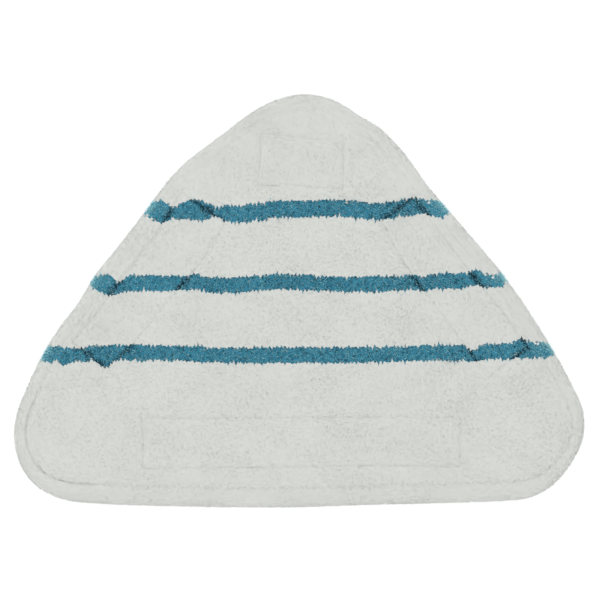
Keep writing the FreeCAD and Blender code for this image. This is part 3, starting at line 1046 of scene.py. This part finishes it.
def ramp(tree, factor, stops):
    """A colour from a factor, by (position, colour) stops."""
    node = tree.nodes.new("ShaderNodeValToRGB")
    elements = node.color_ramp.elements
    for element, (position, colour) in zip(elements, (stops[0], stops[-1])):
        element.position, element.color = position, (*colour, 1)
    for position, colour in stops[1:-1]:
        elements.new(position).color = (*colour, 1)
    tree.links.new(factor, node.inputs[0])
    return node.outputs["Color"]


def pile_material(name, stops):
    """Dark at the tufts' roots and light at their tips, the roots' darkness painted shade."""
    material, tree, shader = principled(name, 0.3)
    shade = tree.nodes.new("ShaderNodeAttribute")
    shade.attribute_name = "shade"
    tree.links.new(ramp(tree, shade.outputs["Fac"], stops), shader.inputs["Base Color"])
    return material


def stripes_node(tree, place, period, axis, distortion=0.0):
    """Soft waves along an axis, period metres apart."""
    wave = tree.nodes.new("ShaderNodeTexWave")
    wave.bands_direction = axis
    wave.inputs["Scale"].default_value = math.pi / 10 / period
    wave.inputs["Distortion"].default_value = distortion
    wave.inputs["Detail"].default_value = 1.0
    tree.links.new(place, wave.inputs["Vector"])
    return wave.outputs["Fac"]


def math_node(tree, operation, *values):
    """The result of a sum on numbers and other nodes' outputs."""
    node = tree.nodes.new("ShaderNodeMath")
    node.operation = operation
    for value, socket in zip(values, node.inputs):
        if isinstance(value, float):
            socket.default_value = value
        else:
            tree.links.new(value, socket)
    return node.outputs[0]


def cloth_material(name, dark, light, periods, depth, sheen=0.2):
    """A cloth with the ribs of its knit or weave across and along it, and a little uneven shade.

    The periods and the depth of the ribs are in millimetres.
    """
    material, tree, shader = principled(name, sheen)
    place = tree.nodes.new("ShaderNodeTexCoord").outputs["Object"]
    noise = tree.nodes.new("ShaderNodeTexNoise")
    noise.inputs["Scale"].default_value = 160
    noise.inputs["Detail"].default_value = 4
    tree.links.new(place, noise.inputs["Vector"])
    ribs = [stripes_node(tree, place, period * MM, axis, 0.6) for period, axis in zip(periods, "XY")]
    knit = math_node(tree, "MULTIPLY", *ribs)
    unevenness = math_node(tree, "MULTIPLY", noise.outputs["Fac"], 0.5)
    relief = math_node(tree, "MULTIPLY_ADD", knit, 0.6, unevenness)
    # The colour follows the relief: the ribs' hollows are darker, painted shade, and the noise adds uneven
    # tone.
    colour = ramp(tree, relief, ((0.15, dark), (0.75, light)))
    tree.links.new(colour, shader.inputs["Base Color"])
    bump = tree.nodes.new("ShaderNodeBump")
    bump.inputs["Distance"].default_value = depth * MM
    bump.inputs["Strength"].default_value = 0.8
    tree.links.new(relief, bump.inputs["Height"])
    tree.links.new(bump.outputs["Normal"], shader.inputs["Normal"])
    return material


# Pile colours along the shade attribute: the dark low end is painted shade, of roots, gaps and seams.
WHITE_PILE = (
    (0.0, (0.9, 0.915, 0.875)),
    (0.5, (0.925, 0.941, 0.903)),
    (1.0, (0.94, 0.954, 0.92)),
)
BLUE_PILE = (
    (0.0, (0.004, 0.02, 0.035)),
    (0.2, (0.035, 0.17, 0.25)),
    (0.42, (0.1, 0.57, 0.79)),
    (1.0, (0.5, 0.92, 0.97)),
)

# Each cloth's dark and light colour, the dark one partly painted shade in its ribs' hollows, the periods of
# its ribs, their depth, and its sheen if it isn't usual.
CLOTHS = {
    "face_ground": ((0.6, 0.61, 0.59), (0.78, 0.79, 0.77), (0.9, 1.3), 0.15),
    "backing_cloth": ((0.62, 0.63, 0.61), (0.8, 0.81, 0.79), (1.1, 0.8), 0.2),
    "wadding": ((0.75, 0.75, 0.74), (0.86, 0.86, 0.85), (7.0, 9.0), 0.3),
    "tape_ribbon": ((0.66, 0.66, 0.65), (0.84, 0.84, 0.82), (0.5, 0.6), 0.12),
    "tape_loops": ((0.7, 0.7, 0.69), (0.86, 0.86, 0.85), (2.3, 3.1), 0.05, 0.4),
    "thread": ((0.68, 0.68, 0.66), (0.86, 0.86, 0.84), (0.35, 0.35), 0.06, 0.3),
}


def make_materials():
    piles = {"pile_white": WHITE_PILE, "pile_blue": BLUE_PILE}
    materials = {name: pile_material(name, stops) for name, stops in piles.items()}
    return materials | {name: cloth_material(name, *look) for name, look in CLOTHS.items()}


# ---- stage, in metres ----
VIEW_WIDTH = 0.3177
VIEW_MIDDLE = (0.0005, 0.0002)


def add_floor():
    """A plain floor, a hair below the pad."""
    bpy.ops.mesh.primitive_plane_add(size=8.0, location=(0, 0, -0.0004))
    floor = bpy.context.object
    floor.name = "floor"
    material, _, shader = principled("floor")
    shader.inputs["Base Color"].default_value = (0.9, 0.9, 0.9, 1)
    shader.inputs["Emission Color"].default_value = (1, 1, 1, 1)
    shader.inputs["Emission Strength"].default_value = 0.4
    floor.data.materials.append(material)


def add_light():
    """Even light from all round, and a large softbox above."""
    world = bpy.data.worlds.new("studio")
    world.use_nodes = True
    background = world.node_tree.nodes["Background"]
    background.inputs["Color"].default_value = (1, 1, 1, 1)
    background.inputs["Strength"].default_value = 0.715
    bpy.context.scene.world = world
    light = bpy.data.lights.new("softbox", "AREA")
    light.shape = "DISK"
    light.size = 1.2
    light.energy = 2.6
    lamp = bpy.data.objects.new("softbox", light)
    lamp.location = (-0.35, 0.45, 1.65)
    lamp.rotation_euler = (-lamp.location).to_track_quat("-Z", "Y").to_euler()
    bpy.context.scene.collection.objects.link(lamp)


def add_camera():
    """A camera straight above the pad, far away, which sees VIEW_WIDTH across its top."""
    data = bpy.data.cameras.new("camera")
    data.lens = 100
    data.sensor_width = 36
    camera = bpy.data.objects.new("camera", data)
    camera.location = (*VIEW_MIDDLE, TOP_Z * MM + VIEW_WIDTH * data.lens / data.sensor_width)
    bpy.context.scene.collection.objects.link(camera)
    bpy.context.scene.camera = camera
    bpy.context.scene.view_settings.view_transform = "Standard"


MATERIALS = make_materials()
folded_cloth("backing_cloth", BACKING_Z + CLOTH, -1, MATERIALS)
wadding(MATERIALS)
folded_cloth("face_ground", PILE_Z - CLOTH, 1, MATERIALS)
edge_seam(MATERIALS)
add_fastenings(MATERIALS)
add_rim_seam(MATERIALS)
pile_ground(MATERIALS)
pile_pieces(MATERIALS)
add_floor()
add_light()
add_camera()
